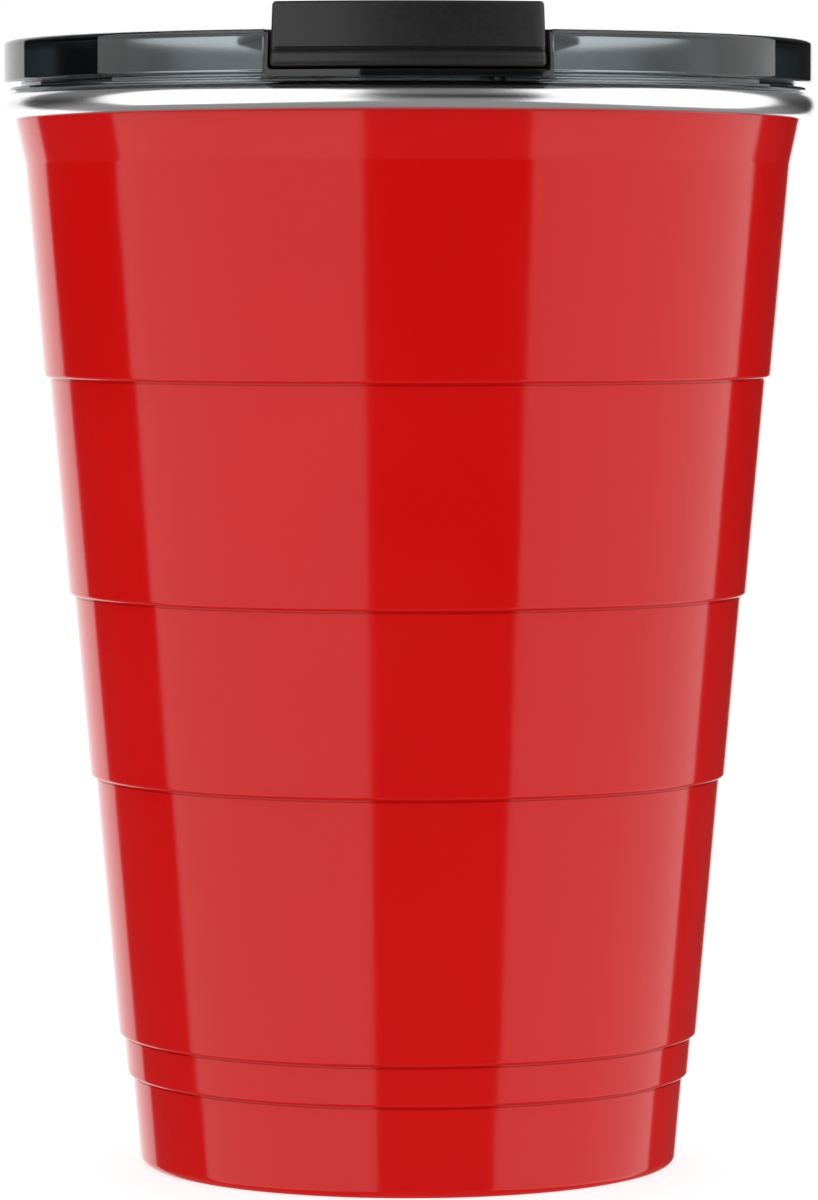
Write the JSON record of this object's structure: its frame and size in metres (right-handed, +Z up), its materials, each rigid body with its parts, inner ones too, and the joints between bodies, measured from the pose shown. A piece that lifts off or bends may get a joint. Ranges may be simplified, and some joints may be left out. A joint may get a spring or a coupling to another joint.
{
  "type": "insulated tumbler",
  "caption": "Stepped, tapered double-wall steel tumbler with a bright rolled rim, a smoked push-in lid and a black flip-up closure over the drinking opening.",
  "frame": {"origin": "centre of the base, on the surface that the tumbler stands on", "axes": "+Z up along the tumbler's axis to the lid; the closure's front block faces -Y; +X to the right seen from the front"},
  "size_m": [0.1044, 0.1059, 0.148],
  "materials": {
    "red_paint": "gloss",
    "bright_steel": "satin polish",
    "seal_glass": "fused bead",
    "getter_metal": "pressed powder",
    "smoked_plastic": "clear smoked gloss",
    "silicone": "matte silicone",
    "black_gloss_plastic": "gloss",
    "black_plastic": "satin"
  },
  "bodies": {
    "tumbler": {"outer_shell": "red_paint", "inner_liner": "bright_steel", "base_disc": "bright_steel", "seal_bead": "seal_glass", "getter": "getter_metal"},
    "lid": {"lid_body": "smoked_plastic", "pocket_frame": "black_gloss_plastic", "lid_gasket": "silicone", "hinge_pin": "bright_steel"},
    "closure": {"closure_flap": "black_plastic", "closure_seal": "silicone"}
  },
  "joints": [
    {"name": "lid_lift", "type": "slide", "parent": "tumbler", "child": "lid", "axis": [0, 0, 1], "range_m": [0, 0.06]},
    {"name": "closure_hinge", "type": "hinge", "parent": "lid", "child": "closure", "pos_m": [0, 0.0095, 0.144], "axis": [-1, 0, 0], "range_deg": [0, 105]}
  ]
}
